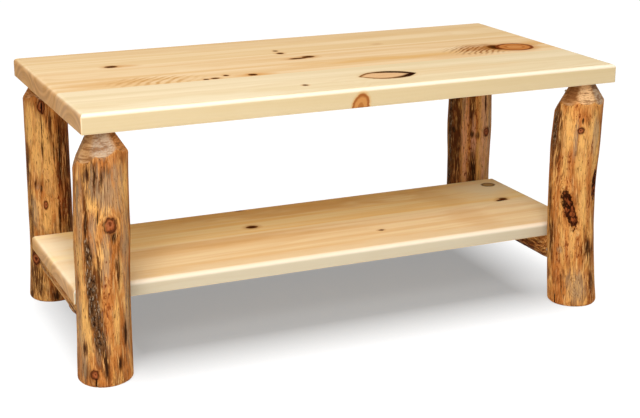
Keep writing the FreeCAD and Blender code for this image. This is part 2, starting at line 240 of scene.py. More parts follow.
def seen_ray(node):
    """One for a ray that shows a surface to the eye, straight or in gloss, and nought for other rays."""
    path = node("ShaderNodeLightPath").node.outputs
    straight = node("MAXIMUM", path["Is Camera Ray"], path["Is Glossy Ray"])
    return node("MAXIMUM", straight, path["Is Transmission Ray"])


# Planed knotty pine, edge-glued and rubbed down under clear satin lacquer: pale cream sapwood with soft tan
# rings drawn out into long streaks, grain that swings round dark knots, and a soft white sheen on rounded
# edges, which is a painted highlight in the colour. A board has the place of its tree's heart, four colours
# (the last a darker tone painted on its long edge faces as shade), a seed for its grain, and what lies in
# it, all in millimetres. A knot is dead (dark and ragged), sound (a red-brown disc), dull (grey-brown) or a
# branch cut lengthways (soft orange), with its middle, half sizes and the degrees it leans to the right. A
# wash is a soft patch of colour. A ripple is curly figure: crests a spacing apart that lean and curve going
# up from its foot. An eye is a pointed oval of peach wood in a dark ring, which dips to one end.
Knot = namedtuple("Knot", "kind middle reach lean", defaults=[0])
Wash = namedtuple("Wash", "middle reach colour share")
Ripple = namedtuple("Ripple", "middle reach spacing lean curve colour share")
Eye = namedtuple("Eye", "middle reach dip")
Board = namedtuple("Board", "pith pale tan rosy edge seed knots washes ripples eyes")
BOARDS = {
    "top_board_front": Board(
        (-215, 395), "#F2DEB9", "#E9D2A7", "#DFBB84", "#BCA67D", 3.0,
        [Knot("dead", (-104, -212, 520), (5.5, 5.5, 40)),
         Knot("branch", (-20, -284, 483), (18, 70, 29), 18),
         Knot("dead", (330, -150, 482), (9, 7, 12)), Knot("sound", (-380, -190, 480), (16, 13, 14))],
        [Wash((200, -185, 520), (260, 46, 60), "#E9C794", 0.45),
         Wash((-330, -250, 520), (260, 40, 90), "#F5E6C6", 0.5)],
        [], [Eye((82, -188), (60, 33), 0.06)]),
    "top_board_middle": Board(
        (30, 610), "#F4D5A8", "#E9C28D", "#D9A970", "#BCA67D", 11.0,
        [Knot("dead", (12, 46, 520), (14, 10, 60)), Knot("dead", (-15, 38, 520), (20, 7, 60)),
         Knot("dead", (-241, -84, 520), (9, 6, 50)), Knot("dead", (-260, -86, 520), (6, 5, 30)),
         Knot("dead", (-212, -66, 520), (6, 6, 30)), Knot("dead", (-161, -80, 520), (9, 9, 60)),
         Knot("dead", (430, -19, 520), (19, 27, 60)), Knot("sound", (469, -29, 520), (41, 39, 90))],
        [Wash((150, -30, 520), (235, 24, 60), "#E0AC62", 0.7),
         Wash((-154, -78, 520), (48, 22, 60), "#DB9F58", 0.75),
         Wash((-440, -50, 520), (110, 40, 60), "#DFAE70", 0.6),
         Wash((-330, 40, 520), (240, 40, 60), "#F2D5A8", 0.6),
         Wash((330, -70, 520), (120, 30, 60), "#E2B279", 0.5),
         Wash((396, -14, 520), (56, 52, 60), "#BE7E40", 0.8),
         Wash((422, -12, 520), (30, 40, 60), "#70390F", 0.95),
         Wash((535, -5, 520), (40, 34, 60), "#DDA560", 0.6)],
        [Ripple((-356, -60), (118, 58), 22, 0.1, 0.007, "#CC9450", 0.85),
         Ripple((380, -24), (92, 66), 15, 0.5, 0.004, "#96561F", 1.0)], []),
    "top_board_rear": Board(
        (170, 400), "#F5D8AB", "#EBC894", "#DFB47A", "#BCA67D", 23.0,
        [Knot("dead", (-397, 107, 520), (13, 10, 60)), Knot("dead", (-27, 134, 520), (5, 6, 30)),
         Knot("dead", (-28, 105, 520), (8, 8, 40)), Knot("branch", (-200, 284, 500), (20, 60, 14)),
         Knot("dead", (280, 240, 480), (10, 8, 16))],
        [Wash((-376, 107, 520), (40, 18, 60), "#DBA56A", 0.65),
         Wash((209, 121, 520), (18, 10, 30), "#CFA070", 0.6),
         Wash((0, 245, 520), (900, 50, 60), "#DFB47E", 0.35)],
        [], []),
    # The shelf boards' colours are paler than the wood itself: painted light against the shade under the top
    "shelf_board_front": Board(
        (-60, 40), "#FBE2B4", "#F0CC95", "#E3B67A", "#B3AC98", 31.0,
        [Knot("dead", (125, -83, 161), (6, 4, 14)), Knot("sound", (-300, -60, 128), (18, 14, 14))],
        [Wash((345, -90, 161), (60, 120, 60), "#E2B47A", 0.4),
         Wash((-540, -90, 161), (60, 120, 60), "#FBEBCB", 0.6),
         Wash((0, -168, 161), (700, 36, 60), "#FBE8C4", 0.5),
         Wash((-250, -25, 161), (330, 26, 60), "#E0AE6C", 0.5)],
        [], []),
    "shelf_board_rear": Board(
        (120, 240), "#FFE6AE", "#F8D28C", "#E8B468", "#B3AC98", 43.0,
        [Knot("dead", (-120, 46, 161), (13, 9, 40)), Knot("dull", (508, 127, 161), (17, 15, 40)),
         Knot("dead", (468, 3, 161), (9, 8, 40)), Knot("dead", (480, 11, 161), (10, 9, 40)),
         Knot("dead", (-105, 170, 156), (9, 8, 8))],
        [Wash((-540, 90, 161), (60, 120, 60), "#FBEACB", 0.7),
         Wash((345, 90, 161), (60, 120, 60), "#E4B878", 0.4),
         Wash((0, 150, 161), (700, 40, 60), "#E4AF66", 0.5),
         Wash((0, 4, 161), (800, 9, 40), "#FBE7C0", 0.6),
         Wash((60, 120, 161), (230, 40, 60), "#E2AC62", 0.5),
         # This wash lightens the rear right of the shelf: painted light in the shade of the leg and the top
         Wash((480, 100, 161), (110, 70, 60), "#FFEFCA", 0.7)],
        [], []),
}
# Colours in and round a knot, each laid over the last: the kind of knot, where the colour starts and where
# it is full (1 is the knot's edge), and its share
KNOT_LAYERS = (
    ("sound", 1.6, 0.95, 0.6, "#CC8844"), ("dead", 2.3, 0.9, 0.5, "#C98A48"),
    ("dead", 1.2, 0.85, 0.95, "#6A3608"), ("dead", 0.9, 0.4, 0.85, "#3A1802"),
    ("sound", 1.08, 0.98, 0.95, "#7A3612"), ("sound", 0.9, 0.76, 0.95, "#D18544"),
    ("sound", 0.6, 0.5, 0.4, "#9A5526"), ("sound", 0.46, 0.36, 0.8, "#DC9654"),
    ("dull", 1.15, 0.9, 0.9, "#7A5528"), ("dull", 0.8, 0.6, 0.85, "#B8925C"),
    ("branch", 1.25, 0.98, 0.6, "#C7924F"), ("branch", 1.04, 0.9, 0.9, "#8E4A1A"),
    ("branch", 0.82, 0.64, 0.9, "#BE8348"), ("branch", 0.4, 0.26, 0.6, "#8E4E20"))
RING_WIDTH = 5.5
RING_SHARE = 0.26
SAWN_BAND = 16.0
HEART_WANDER = 34.0
KNOT_RAGGED = (6.0, 5.0, 4.0)
EYE_TAPER = 2.6
CURL_SWAY = 16.0
CLOUD_SWAY = 22.0


def planed_pine(name, board):
    material, node = new_material("planed_lacquered_pine_" + name)
    place = own_place(node)

    def drift(long, wide, detail, rough=0.5):
        """Slow change, so many millimetres along and across the board."""
        shift = (board.seed, board.seed, board.seed)
        spot = node(VECTOR + TIMES_PLUS, place, (1 / long, 1 / wide, 1 / wide), shift)
        return node(NOISE, spot, 1.0, detail, rough)

    def pulled(rings, away, depth, most, ease):
        """Rings drawn in towards a knot, by so many times its depth at most."""
        pull = node("SMOOTH_MIN", node(TIMES, away, depth), depth * most, depth * ease)
        return node(PLUS, rings, pull)

    # The tree's heart wanders slowly along the board
    slow = drift(420, 130, 2.0)
    heart = (0, -HEART_WANDER / 2 - board.pith[0], -HEART_WANDER / 2 - board.pith[1])
    wander = node(VECTOR + TIMES_PLUS, slow.node.outputs["Color"], (0, HEART_WANDER, HEART_WANDER), heart)
    from_heart = node(VECTOR + TIMES, node(VECTOR + PLUS, place, wander), (0, 1, 1))
    rings = node(VECTOR + "LENGTH", from_heart)

    # Knots: each pulls the rings towards itself
    uneven = node(VECTOR + TIMES_PLUS, drift(12, 7, 3.0, 0.6).node.outputs["Color"], KNOT_RAGGED,
                  tuple(-size / 2 for size in KNOT_RAGGED))
    ragged = node(VECTOR + PLUS, place, uneven)
    nearest = {}
    for knot in board.knots:
        offset = node(VECTOR + MINUS, ragged, knot.middle)
        if knot.lean:
            offset = node("ShaderNodeVectorRotate", offset, inputs={"Angle": math.radians(-knot.lean)},
                          rotation_type="Y_AXIS")
        spread = node(VECTOR + TIMES, offset, tuple(1 / size for size in knot.reach))
        away = node(VECTOR + "LENGTH", spread)
        near = nearest.get(knot.kind)
        nearest[knot.kind] = node("MINIMUM", near, away) if near else away
        rings = pulled(rings, away, 1.6 * min(knot.reach), 1.6, 1.4)
    eye_away = None
    for eye in board.eyes:
        offset = node(SPLIT, node(VECTOR + MINUS, ragged, (*eye.middle, 0))).node.outputs
        off_y = node(TIMES_PLUS, offset["X"], eye.dip, offset["Y"])
        eye_along = node(TIMES, offset["X"], 1 / eye.reach[0])
        eye_across = node(TIMES, off_y, 1 / eye.reach[1])
        taper = node("POWER", node("ABSOLUTE", eye_along), EYE_TAPER)
        eye_away = node(PLUS, node("ABSOLUTE", eye_across), taper)
        rings = pulled(rings, eye_away, 1.2 * eye.reach[1], 1.5, 1.0)

    # Growth rings, about 5 mm apart: each darkens slowly and ends sharply
    count = node(TIMES, rings, 1 / RING_WIDTH)
    within = node("FRACT", count)
    late = node(RANGE, within, 0.25, 0.9, 0.0, 1.0, **SOFT)
    late = node(TIMES, late, node(RANGE, within, 0.9, 1.0, 1.0, 0.0))
    year = node("ShaderNodeTexWhiteNoise", node("FLOOR", count), noise_dimensions="1D")
    late = node(TIMES, late, node(RANGE, year, 0.0, 1.0, 0.2, 1.0))

    # Long streaks and fine fibres along the board
    streak = node(RANGE, drift(900, 30, 3.0, 0.55), 0.36, 0.66, 0.0, 1.0, **SOFT)
    fibre = drift(70, 1.3, 2.0, 0.6)
    tone = node(MIX, streak, board.pale, board.tan, **COLOUR)
    tone = node(MIX, node(TIMES, late, RING_SHARE), tone, board.rosy, **COLOUR)
    tone = node(MIX, node(RANGE, fibre, 0.4, 0.75, 0.0, 0.16), tone, board.rosy, **COLOUR)

    # Washes and curly figure
    cloud = drift(90, 24, 3.0)
    curl = drift(30, 26, 2.0)
    for wash in board.washes:
        spread = node(VECTOR + TIMES, node(VECTOR + MINUS, place, wash.middle),
                      tuple(1 / size for size in wash.reach))
        away = node(PLUS, node(VECTOR + "LENGTH", spread), node(RANGE, cloud, 0.3, 0.7, -0.3, 0.3))
        share = node(RANGE, away, 1.15, 0.25, 0.0, wash.share, **SOFT)
        tone = node(MIX, share, tone, wash.colour, **COLOUR)
    for ripple in board.ripples:
        offset = node(VECTOR + MINUS, place, (*ripple.middle, 0))
        spread = node(VECTOR + TIMES, offset, (1 / ripple.reach[0], 1 / ripple.reach[1], 0))
        near = node(RANGE, node(VECTOR + "LENGTH", spread), 1.05, 0.3, 0.0, ripple.share, **SOFT)
        part = node(SPLIT, offset).node.outputs
        rise = node(PLUS, part["Y"], ripple.reach[1])
        bend = node(PLUS, node(TIMES, rise, ripple.curve), ripple.lean)
        slope = node(TIMES, rise, bend)
        crest = node(TIMES_PLUS, slope, -1.0, part["X"])
        crest = node(TIMES_PLUS, cloud, CLOUD_SWAY, crest)
        crest = node(TIMES_PLUS, curl, CURL_SWAY, crest)
        turns = node(TIMES, crest, 2 * math.pi / ripple.spacing)
        wave = node(RANGE, node("SINE", turns), -0.5, 1.0, 0.0, 1.0, **SOFT)
        near = node(TIMES, near, node(RANGE, curl, 0.3, 0.6, 0.45, 1.0))
        dark = node(TIMES, wave, near)
        tone = node(MIX, dark, tone, ripple.colour, **COLOUR)

    # Sawn ends drink more lacquer, so they are darker, in soft bands round the heart. The long edge faces
    # are
    # painted a darker, duller tone: painted shade
    across = node(VECTOR + TIMES, node(VECTOR + MINUS, place, (0, *board.pith)), (0, 1, 1))
    bands = node(TIMES, node(VECTOR + "LENGTH", across), 1 / SAWN_BAND)
    band = node(NOISE, bands, 1.0, 2.0, 0.5, noise_dimensions="1D")
    sawn = node(MIX, node(RANGE, band, 0.4, 0.66, 0.0, 0.8), "#CC9256", "#A66C3A", **COLOUR)
    facing = node(SPLIT, node("ShaderNodeNewGeometry").node.outputs["Normal"]).node.outputs
    end = node(RANGE, node("ABSOLUTE", facing["X"]), 0.5, 0.95, 0.0, 0.75, **SOFT)
    tone = node(MIX, end, tone, sawn, **COLOUR)
    sideways = node("ABSOLUTE", facing["Y"])
    tone = node(MIX, node(RANGE, sideways, 0.75, 1.0, 0.0, 0.75, **SOFT), tone, board.edge, **COLOUR)
    # Painted highlight: the round-over, which faces up and out, is painted paler as the white sheen of light
    # on it
    over = node(TIMES, sideways, facing["Z"])
    tone = node(MIX, node(RANGE, over, 0.15, 0.48, 0.0, 0.55, **SOFT), tone, "#F3EBDC", **COLOUR)

    # The knots' own colours, and the eye's
    for kind, outer, inner, share, code in KNOT_LAYERS:
        if kind in nearest:
            layer = node(RANGE, nearest[kind], outer, inner, 0.0, share, **SOFT)
            tone = node(MIX, layer, tone, code, **COLOUR)
    if "sound" in nearest:
        disc = node(RANGE, nearest["sound"], 1.0, 0.9, 0.0, 0.35)
        tone = node(MIX, node(TIMES, disc, late), tone, "#8E4C22", **COLOUR)
    if eye_away:
        halo = node(RANGE, eye_away, 1.5, 0.95, 0.0, 0.35, **SOFT)
        tone = node(MIX, halo, tone, "#D9A868", **COLOUR)
        ring = node(TIMES, late, 0.6)
        peach = node(MIX, ring, "#E9BA88", "#C58A54", **COLOUR)
        tone = node(MIX, node(RANGE, eye_away, 1.02, 0.92, 0.0, 0.9), tone, peach, **COLOUR)
        shade = node(TIMES_PLUS, eye_across, 0.2, node(TIMES, eye_along, 0.9))
        thick = node(RANGE, shade, -0.4, 0.7, 0.8, 0.42, **SOFT)
        inside = node(RANGE, node(MINUS, eye_away, thick), -0.12, 0.12, 0.0, 1.0)
        rim = node(TIMES, node(RANGE, eye_away, 1.12, 1.0, 0.0, 1.0), inside)
        dark = node(MIX, node(RANGE, shade, -0.5, 0.4, 0.0, 1.0), "#84501A", "#2C0F02", **COLOUR)
        tone = node(MIX, rim, tone, dark, **COLOUR)

    height = node(TIMES_PLUS, late, 0.5, node(TIMES, fibre, 0.6))
    bump = node("ShaderNodeBump", inputs={"Strength": 0.2, "Distance": 0.0003, "Height": height})
    surface = node("ShaderNodeBsdfPrincipled", inputs={
        "Base Color": tone, "Roughness": node(RANGE, late, 0.0, 1.0, 0.68, 0.6), "IOR": 1.5,
        "Specular IOR Level": 0.001, "Normal": bump})
    node("ShaderNodeOutputMaterial", surface)
    return material


# Colours of a peeled log's skin, each laid over the last: the texture or mark it follows, where in that it
# starts and is full, and its share. The umber layer is partly dark brown wood and partly painted shade.
SKIN_LAYERS = (
    ("blotch", 0.48, 0.60, 0.55, "#A05A26"), ("cloud", 0.49, 0.63, 0.78, "#764220"),
    ("streak", 0.46, 0.34, 0.48, "#E4B674"), ("gold", 0.15, 0.75, 0.80, "#E0AA60"),
    ("rust", 0.15, 0.80, 0.50, "#B96C32"), ("umber_and_shade", 0.10, 0.90, 0.92, "#41200E"),
    ("rosy", 0.15, 0.80, 0.72, "#D8A07C"), ("grey", 0.20, 0.85, 0.75, "#A08260"),
    ("bark", 0.06, 0.40, 0.70, "#6E3E1A"), ("stain", 0.06, 0.45, 0.75, "#6A3A18"),
    ("fibre", 0.52, 0.64, 0.66, "#603418"), ("fleck", 0.60, 0.68, 0.75, "#54280F"),
    ("fibre", 0.45, 0.33, 0.30, "#E9BF80"), ("freckles", 0.25, 0.60, 0.75, "#6E2C10"),
    ("stain", 0.35, 0.95, 0.94, "#2E1A0D"))
# The marks that show on hewn flats too, with their share and colour there
HEWN_LAYERS = (("grey", 0.85, "#AE9981"), ("umber_and_shade", 0.8, "#82522C"), ("rust", 0.8, "#BE7A3E"),
               ("gold", 0.85, "#DCB281"))
# From plain skin to the middle of a knot, whose edge is at 0.55
KNOT_STOPS = (
    (0.0, "#B0703A"), (0.40, "#8E5228"), (0.49, "#42200E"), (0.60, "#542612"), (0.69, "#84421F"),
    (0.78, "#9C5834"), (0.86, "#642A14"), (0.94, "#35140A"))
LOG_RING_WIDTH = 3.0


def peeled_log_material(name, grain_axis):
    """Peeled pine log with scraps of inner bark left on, under clear satin lacquer: golden and orange wood
    in long streaks, brown and black bark scraps, grey weathered patches, red knots, and paler hewn flats
    with ring lines and axe strokes."""
    material, node = new_material("peeled_lacquered_pine_" + name)
    # The grain's own place bends round knots and scars, the still one doesn't
    place = in_millimetres(node, node("ShaderNodeAttribute", attribute_name="grain").node.outputs["Vector"])
    still = own_place(node)

    def grain(wide, long, detail, rough=0.6, warp=0.0, point=place):
        """Change that is so many millimetres wide and long, drawn out along the log."""
        steps = [1 / wide] * 3
        steps["XYZ".index(grain_axis)] = 1 / long
        return node(NOISE, node(VECTOR + TIMES, point, tuple(steps)), 1.0, detail, rough,
                    inputs={"Distortion": warp})

    broad = grain(30, 120, 2)
    blotch = grain(17, 34, 2, warp=0.8)
    cloud = grain(12, 44, 4, warp=0.6)
    streak = grain(5.5, 60, 4, warp=0.4)
    fibre = grain(1.8, 30, 3)
    fleck = grain(3.4, 12, 3, point=still)
    spot = grain(5, 8, 3, point=still)
    lump = grain(8, 11, 1, point=still)
    stroke = grain(22, 4.5, 3, point=still)
    seen = {kind: node("ShaderNodeAttribute", attribute_name=kind).node.outputs["Fac"]
            for kind in MARK_KINDS + ("hewn", "ring")}

    # Marks break up along the grain, bark and scars into crumbs
    breaks = node(TIMES_PLUS, streak, 0.45, node(TIMES, cloud, 0.2))
    breaks = node(RANGE, node(TIMES_PLUS, fibre, 0.45, breaks), 0.42, 0.68, 0.0, 2.0)
    follows = {kind: node(TIMES, seen[kind], breaks) for kind in MARK_KINDS}
    crumbs = node(TIMES_PLUS, fleck, 0.5, node(TIMES, spot, 0.5))
    crumbs = node(RANGE, crumbs, 0.36, 0.64, 0.2, 1.8)
    flaked_bark = node(TIMES, seen["bark"], crumbs)
    freckles = node(TIMES, seen["rust"], node(RANGE, fleck, 0.5, 0.64, 0.0, 1.0))
    follows.update(blotch=blotch, cloud=cloud, streak=streak, fibre=fibre, fleck=fleck, freckles=freckles)

    tone = node(MIX, node(RANGE, broad, 0.42, 0.58, 0.0, 1.0, **SOFT), "#D3964F", "#B16C32", **COLOUR)
    for guide, start, end, share, code in SKIN_LAYERS:
        layer = node(RANGE, follows[guide], start, end, 0.0, share, **SOFT)
        tone = node(MIX, layer, tone, code, **COLOUR)

    # Scraps of bark, lumpy scars and arched grain
    bark = node("MAXIMUM", follows["bark"], flaked_bark)
    bark = node(RANGE, bark, 0.34, 0.75, 0.0, 0.95, **SOFT)
    scrap = node(MIX, node(RANGE, spot, 0.4, 0.6, 0.0, 1.0), "#24140A", "#664428", **COLOUR)
    scrap = node(MIX, node(RANGE, fleck, 0.55, 0.66, 0.0, 0.8), scrap, "#AC9478", **COLOUR)
    tone = node(MIX, bark, tone, scrap, **COLOUR)
    scar = node(PLUS, node(RANGE, spot, 0.3, 0.7, -0.2, 0.2), seen["scar"])
    lumps = node(TIMES, node(RANGE, lump, 0.46, 0.62, 0.0, 1.0, **SOFT),
                 node(RANGE, scar, 0.5, 0.66, 0.0, 1.0))
    lumps = node(MIX, lumps, "#1E0A03", "#8A4622", **COLOUR)
    lumps = node(MIX, node(RANGE, fleck, 0.45, 0.65, 0.0, 0.7), lumps, "#3A160A", **COLOUR)
    tone = node(MIX, node(RANGE, scar, 0.2, 0.4, 0.0, 0.6, **SOFT), tone, "#7A3E18", **COLOUR)
    tone = node(MIX, node(RANGE, scar, 0.38, 0.46, 0.0, 0.97, **SOFT), tone, lumps, **COLOUR)
    arch = node(TIMES_PLUS, seen["arch"], 30.0, node(TIMES, cloud, 14.0))
    arch = node(TIMES, node(RANGE, node("SINE", arch), 0.1, 1.0, 0.0, 0.4),
                node(RANGE, seen["arch"], 0.0, 0.3, 0.0, 1.0))
    tone = node(MIX, arch, tone, "#7A5026", **COLOUR)

    # Knots and cracks: closeness runs from 0 on plain skin to 1 in the middle
    near_knot = node(RANGE, seen["knot"], 0.0, 0.3, 0.0, 1.0)
    ragged = node(TIMES_PLUS, node(RANGE, lump, 0.3, 0.7, -0.1, 0.1), near_knot, seen["knot"])
    knot = node("ShaderNodeValToRGB", ragged, stops=KNOT_STOPS)
    shade = node(TIMES, node(RANGE, ragged, 0.22, 0.52, 0.0, 0.95, **SOFT),
                 node(RANGE, breaks, 0.1, 0.8, 0.8, 1.0))
    tone = node(MIX, shade, tone, knot, **COLOUR)
    tone = node(MIX, node(RANGE, seen["crack"], 0.2, 0.7, 0.0, 0.95), tone, "#170A05", **COLOUR)

    # Hewn flats cut across the rings, and the axe leaves strokes across the grain
    flat = node(MIX, node(RANGE, broad, 0.4, 0.6, 0.0, 1.0), "#B88C5C", "#A5784E", **COLOUR)
    for kind, share, code in HEWN_LAYERS:
        flat = node(MIX, node(RANGE, seen[kind], 0.15, 0.5, 0.0, share), flat, code, **COLOUR)
    ring = node(TIMES_PLUS, seen["ring"], 2 * math.pi / LOG_RING_WIDTH, node(TIMES, cloud, 12.0))
    ring = node(RANGE, node("SINE", ring), 0.0, 1.0, 0.0, 0.4)
    ring = node(TIMES, ring, node(RANGE, blotch, 0.4, 0.6, 0.1, 1.0))
    flat = node(MIX, ring, flat, "#7A4E2A", **COLOUR)
    flat = node(MIX, node(RANGE, stroke, 0.48, 0.6, 0.0, 0.7, **SOFT), flat, "#6E4222", **COLOUR)
    flat = node(MIX, node(RANGE, stroke, 0.44, 0.32, 0.0, 0.35, **SOFT), flat, "#D2B08A", **COLOUR)
    flat = node(MIX, node(RANGE, fleck, 0.5, 0.66, 0.0, 0.5), flat, "#94643A", **COLOUR)
    tone = node(MIX, seen["hewn"], tone, flat, **COLOUR)

    height = node(TIMES_PLUS, fibre, 0.7, node(TIMES, streak, 0.8))
    height = node(TIMES_PLUS, bark, node(RANGE, spot, 0.3, 0.7, 0.0, 1.2), height)
    bump = node("ShaderNodeBump", inputs={"Strength": 0.6, "Distance": 0.0014, "Height": height})
    surface = node("ShaderNodeBsdfPrincipled", inputs={
        "Base Color": tone, "Roughness": node(RANGE, bark, 0.0, 1.0, 0.58, 0.8), "IOR": 1.5,
        "Specular IOR Level": 0.01, "Normal": bump})
    node("ShaderNodeOutputMaterial", surface)
    return material


def turned_beech():
    """Turned beech dowel: pinkish tan with short dark flecks along it."""
    material, node = new_material("turned_beech")
    fleck = node(NOISE, own_place(node), 0.9, 2.0, 0.5)
    tone = node(MIX, node(RANGE, fleck, 0.5, 0.7, 0.0, 1.0), "#D0A67A", "#A87A50", **COLOUR)
    surface = node("ShaderNodeBsdfPrincipled", inputs={"Base Color": tone, "Roughness": 0.55, "IOR": 1.5})
    node("ShaderNodeOutputMaterial", surface)
    return material


def zinc_plate():
    """Bright zinc plate on rolled steel: a faint yellow-grey metal, blotched where the plate is thin."""
    material, node = new_material("zinc_plated_steel")
    blotch = node(NOISE, own_place(node), 0.6, 3.0, 0.6)
    tone = node(MIX, blotch, "#D8D2C2", "#A8A294", **COLOUR)
    surface = node("ShaderNodeBsdfPrincipled", inputs={
        "Base Color": tone, "Metallic": 1.0, "Roughness": node(RANGE, blotch, 0.3, 0.7, 0.25, 0.5)})
    node("ShaderNodeOutputMaterial", surface)
    return material


# Relief of a log's skin: fine ridges along the grain, about 7 mm apart, and broad dents, about 30 mm. Each
# has its steps to the metre round the log, and how far they are drawn out along it.
SKIN_RELIEF = (("Ridges", 140.0, 0.09), ("Dents", 34.0, 0.3))
FLAT_EASE = 1.5


def new_rule(name, output, numbers, places=()):
    """An empty tree that grows a log, its node maker and its named inputs."""
    tree = bpy.data.node_groups.new(name, "GeometryNodeTree")
    tree.interface.new_socket(output, in_out="OUTPUT", socket_type="NodeSocketGeometry")
    wanted = [(label, "Float") for label in numbers] + [(label, "Vector") for label in places]
    for label, kind in wanted + [("Rows", "Int"), ("Columns", "Int"), ("Finish", "Material")]:
        tree.interface.new_socket(label, in_out="INPUT", socket_type="NodeSocket" + kind)
    return tree, partial(add, tree), tree.nodes.new("NodeGroupInput").outputs


def round_stem(node, size, length):
    """A bare round stem, with its points' places, their angle round it and how near the rim they are."""
    stem = node("GeometryNodeMeshCylinder", size["Columns"], size["Rows"], 1, 1.0, length,
                fill_type="TRIANGLE_FAN")
    point = node(SPLIT, node("GeometryNodeInputPosition")).node.outputs
    angle = node("ARCTAN2", point["Y"], point["X"])
    rim = node(VECTOR + "LENGTH", node(JOIN, point["X"], point["Y"]))
    return stem, point, angle, rim


def weathered(node, size, radius, point, along, girth, share=1.0):
    """A log's radius with the skin's relief cut inwards."""
    for name, steps, stretch in SKIN_RELIEF:
        around = node(JOIN, node(TIMES, point["X"], girth * MM),
                      node(TIMES, point["Y"], girth * MM),
                      node(TIMES_PLUS, along, stretch, size["Seed"]))
        relief = node(TIMES, node(NOISE, around, steps, 2.0, 0.5), size[name])
        radius = node(MINUS, radius, node(TIMES, relief, share))
    return radius


def finish_rule(node, size, log, notes, spot):
    """Notes values on a log's points, moves these to their places and gives the log its finish."""
    for name, value in notes.items():
        log = node("GeometryNodeStoreNamedAttribute", log, True, name, value, data_type="FLOAT",
                   domain="POINT")
    log = node("GeometryNodeSetPosition", log, True, spot)
    log = node("GeometryNodeSetShadeSmooth", log)
    log = node("GeometryNodeRealizeInstances", log)
    log = node("GeometryNodeSetMaterial", log, True, size["Finish"])
    node("NodeGroupOutput", log)


def peeled_log_tree():
    """A crooked log, eased at the foot and hewn at the head to flats round a small end."""
    numbers = list(LEG_INPUTS) + ["Radius", "Flare", "Swell", "Swell Height", "Bevel", "Bevel Skew", "Turn",
                                  "Bevel Side", "Seed"]
    tree, node, size = new_rule("peeled_log", "Log", numbers, ("Axis", "Head", "Foot", "Bow"))
    stem, point, angle, rim = round_stem(node, size, size["Length"])
    height = node(TIMES_PLUS, size["Length"], 0.5, point["Z"])

    # The core bows between foot and head
    share = node("DIVIDE", height, size["Length"])
    sway = node("SINE", node(TIMES, share, math.pi))
    straight = node(MIX, share, size["Foot"], size["Head"], data_type="VECTOR")
    core = node(VECTOR + PLUS, straight, node(VECTOR + "SCALE", size["Bow"], sway))

    # The skin: a flared foot, a swelling and a section that is not quite round
    low = node(MINUS, 1.0, node("DIVIDE", height, size["Flare Height"]), use_clamp=True)
    skin = node(TIMES_PLUS, size["Flare"], node("POWER", low, 2.0), size["Radius"])
    from_swell = node("DIVIDE", node(MINUS, height, size["Swell Height"]), size["Swell Reach"])
    fade = node(TIMES, node(TIMES, from_swell, from_swell), -1.0)
    skin = node(TIMES_PLUS, size["Swell"], node("EXPONENT", fade), skin)
    turned = node(MINUS, angle, size["Turn"])
    for name, folds in (("Oval", 2.0), ("Lobe", 3.0)):
        wave = node("COSINE", node(TIMES, turned, folds))
        skin = node(TIMES_PLUS, size[name], wave, skin)
    radius = weathered(node, size, skin, point, height, LEG_RADIUS)

    # The eased foot
    below = node("MAXIMUM", node(MINUS, size["Foot Ease"], height), 0.0)
    square = node(MINUS, node("POWER", size["Foot Ease"], 2.0), node("POWER", below, 2.0))
    ease = node(MINUS, size["Foot Ease"], node("SQRT", square))
    radius = node(MINUS, radius, ease)

    # The hewn flats
    inset = node(MINUS, size["Radius"], size["End Radius"])
    drop = node(MINUS, size["Length"], height)
    off_head = node(VECTOR + MINUS, size["Head"], core)
    for facet in range(BEVEL_FACETS):
        wander = BEVEL_WANDER * math.sin(math.radians(BEVEL_WANDER_TURN * facet))
        facing = node(PLUS, size["Turn"], math.radians(360 * facet / BEVEL_FACETS + wander))
        lean = node("COSINE", node(MINUS, facing, size["Bevel Side"]))
        fall = node(TIMES_PLUS, size["Bevel Skew"], lean, size["Bevel"])
        out = node(JOIN, node("COSINE", facing), node("SINE", facing))
        reach = node("DIVIDE", node(TIMES, drop, inset), fall)
        reach = node(PLUS, node(PLUS, reach, size["End Radius"]),
                     node(VECTOR + "DOT_PRODUCT", out, off_head))
        turn_off = node("COSINE", node(MINUS, angle, facing))
        turn_off = node("MAXIMUM", turn_off, 0.05)
        limit = node("DIVIDE", reach, turn_off)
        radius = node("SMOOTH_MIN", radius, limit, FLAT_EASE * MM)

    notes = {"angle": angle, "height": height, "ring": radius, "skin": skin}
    radius = node(TIMES, radius, rim)
    side = node(JOIN, node(TIMES, radius, node("COSINE", angle)),
                node(TIMES, radius, node("SINE", angle)), height)
    spot = node(VECTOR + PLUS, node(VECTOR + PLUS, size["Axis"], core), side)
    finish_rule(node, size, stem, notes, spot)
    return tree


def rail_tree():
    """A round log turned down at both ends to tenons, with a flat along its upper side."""
    numbers = list(RAIL_INPUTS) + ["Front", "Rear", "X", "Z", "Seed"]
    tree, node, size = new_rule("shelf_rail", "Rail", numbers)
    stem, point, angle, rim = round_stem(node, size, 2.0)
    start = node(MINUS, size["Front"], size["Tenon Length"])
    end = node(PLUS, size["Rear"], size["Tenon Length"])
    along = node(RANGE, point["Z"], -1.0, 1.0, start, end)

    # The shoulders: from each tenon the radius swells in a quarter round
    from_front = node(MINUS, along, size["Front"])
    from_rear = node(MINUS, size["Rear"], along)
    inside = node("MINIMUM", from_front, from_rear)
    left = node(MINUS, 1.0, node("DIVIDE", inside, size["Shoulder"], use_clamp=True))
    swell = node("SQRT", node(MINUS, 1.0, node(TIMES, left, left)))
    skin = node(TIMES_PLUS, node(MINUS, size["Radius"], size["Tenon Radius"]), swell,
                size["Tenon Radius"])
    radius = weathered(node, size, skin, point, along, RAIL_RADIUS, swell)

    # The seat for the shelf
    upright = node("MAXIMUM", node("SINE", angle), 0.01)
    radius = node("MINIMUM", radius, node("DIVIDE", size["Seat"], upright))

    height = node(MINUS, along, start)
    notes = {"angle": angle, "height": height, "ring": radius, "skin": skin}
    radius = node(TIMES, radius, rim)
    x = node(TIMES_PLUS, radius, node("COSINE", angle), size["X"])
    z = node(TIMES_PLUS, radius, node("SINE", angle), size["Z"])
    # Laid along Y, the stem would be inside out
    stem = node("GeometryNodeFlipFaces", stem)
    finish_rule(node, size, stem, notes, node(JOIN, x, along, z))
    return tree


